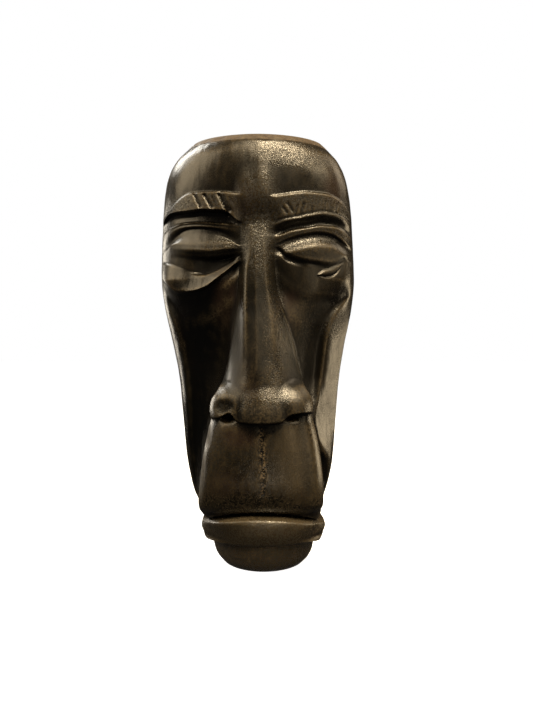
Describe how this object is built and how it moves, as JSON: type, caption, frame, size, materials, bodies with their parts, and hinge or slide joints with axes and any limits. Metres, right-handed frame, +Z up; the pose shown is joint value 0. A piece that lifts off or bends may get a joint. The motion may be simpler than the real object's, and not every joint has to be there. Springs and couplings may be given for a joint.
{
  "type": "carved wooden head",
  "caption": "Stylised long-faced head carved from one block of dark hardwood, with lowered lids, a long wedge nose and a ledge lip, standing on its flat-cut chin.",
  "frame": {"origin": "middle of the flat base that the head stands on", "axes": "+Z up along the block, the face looks towards -Y, +X to the viewer's right"},
  "size_m": [0.1401, 0.1288, 0.3],
  "materials": {
    "dark_wood": "hand carved, oiled and rubbed to a satin gloss"
  },
  "bodies": {
    "root": {"carved_head": "dark_wood"}
  },
  "joints": []
}
